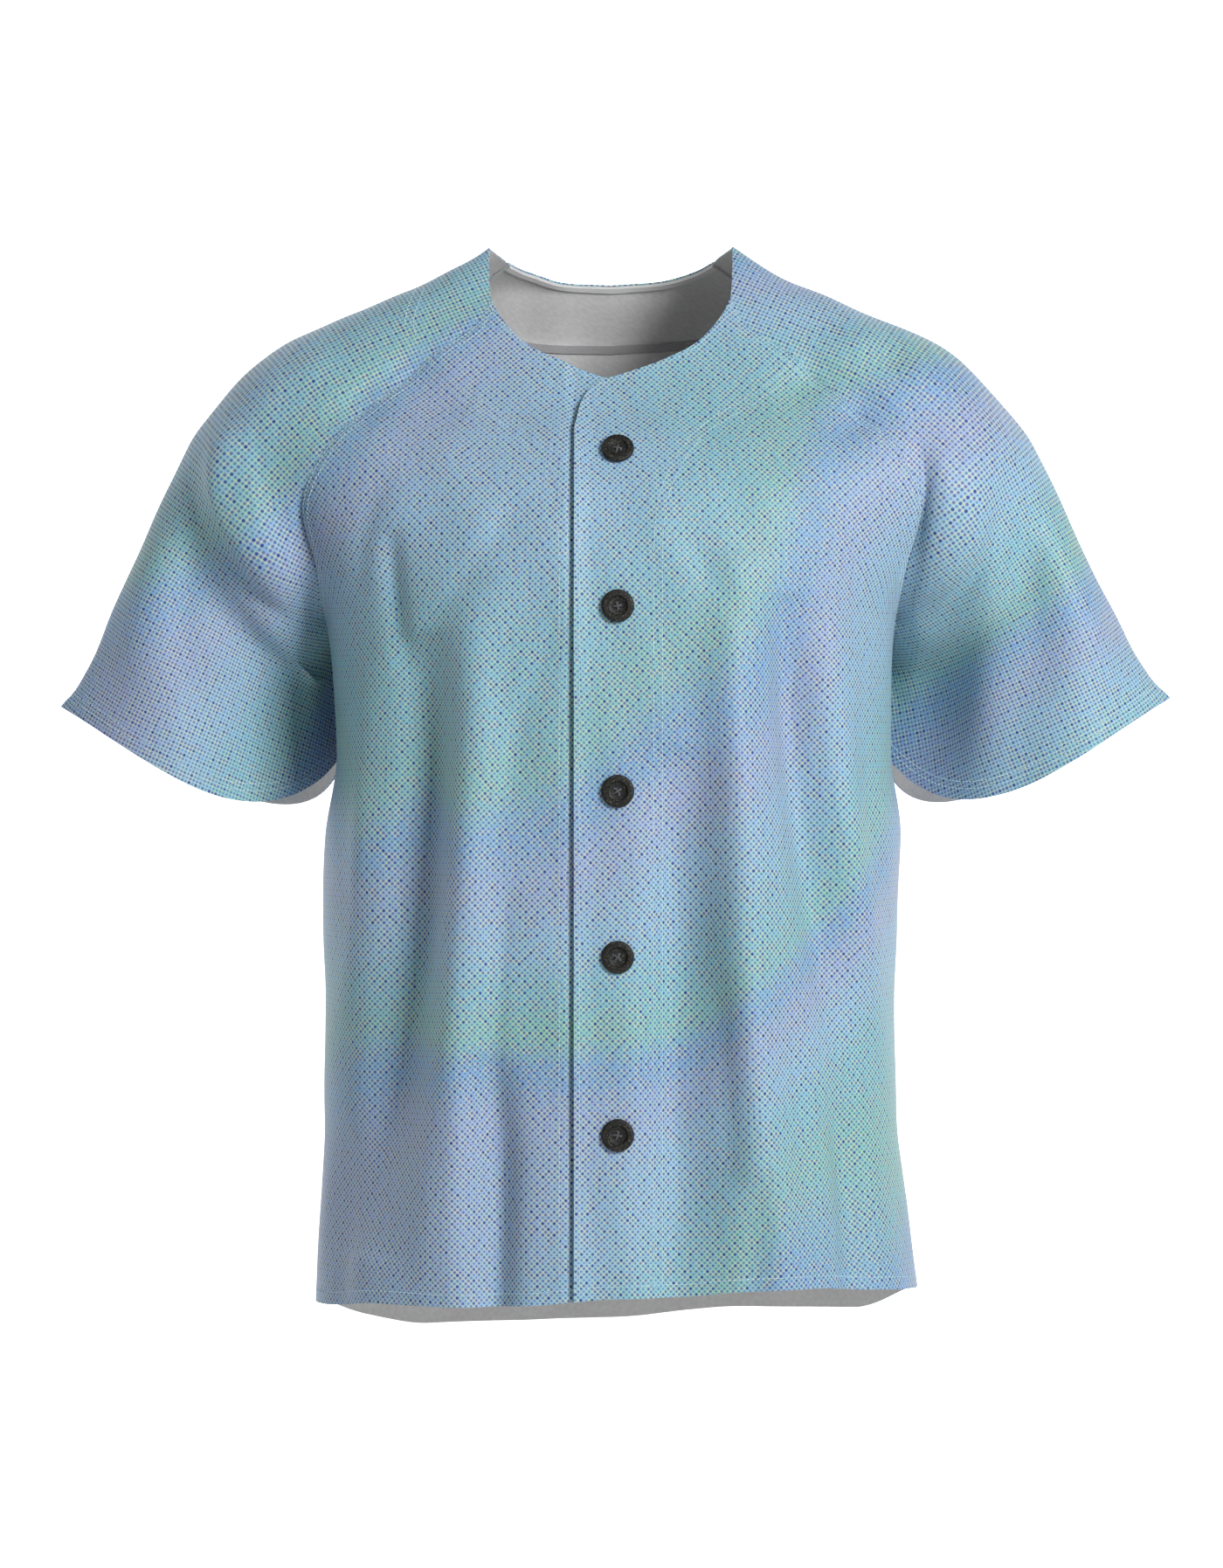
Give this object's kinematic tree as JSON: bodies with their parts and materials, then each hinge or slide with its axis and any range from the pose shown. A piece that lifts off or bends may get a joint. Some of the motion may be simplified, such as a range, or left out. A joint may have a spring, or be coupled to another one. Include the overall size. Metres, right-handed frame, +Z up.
{
  "type": "baseball jersey",
  "caption": "Button-front baseball jersey with raglan sleeves and a round neck, filled out as if worn, its neck, hem and cuffs open.",
  "frame": {"origin": "On the shoulder line, midway between the two high points of the neck, where the wearer's shoulders carry the cloth.", "axes": "+Z up. The front faces -Y, +X is the wearer's left."},
  "size_m": [0.7745, 0.273, 0.7586],
  "materials": {
    "printed_cloth": "matte",
    "plain_cloth": "matte",
    "tape": "matte",
    "button": "satin"
  },
  "bodies": {
    "root": {"front_left": "printed_cloth", "front_right": "printed_cloth", "back": "printed_cloth", "sleeve_left": "printed_cloth", "sleeve_right": "printed_cloth", "neck_facing": "plain_cloth", "neck_tape": "tape", "button_1": "button", "button_2": "button", "button_3": "button", "button_4": "button", "button_5": "button"}
  },
  "joints": []
}
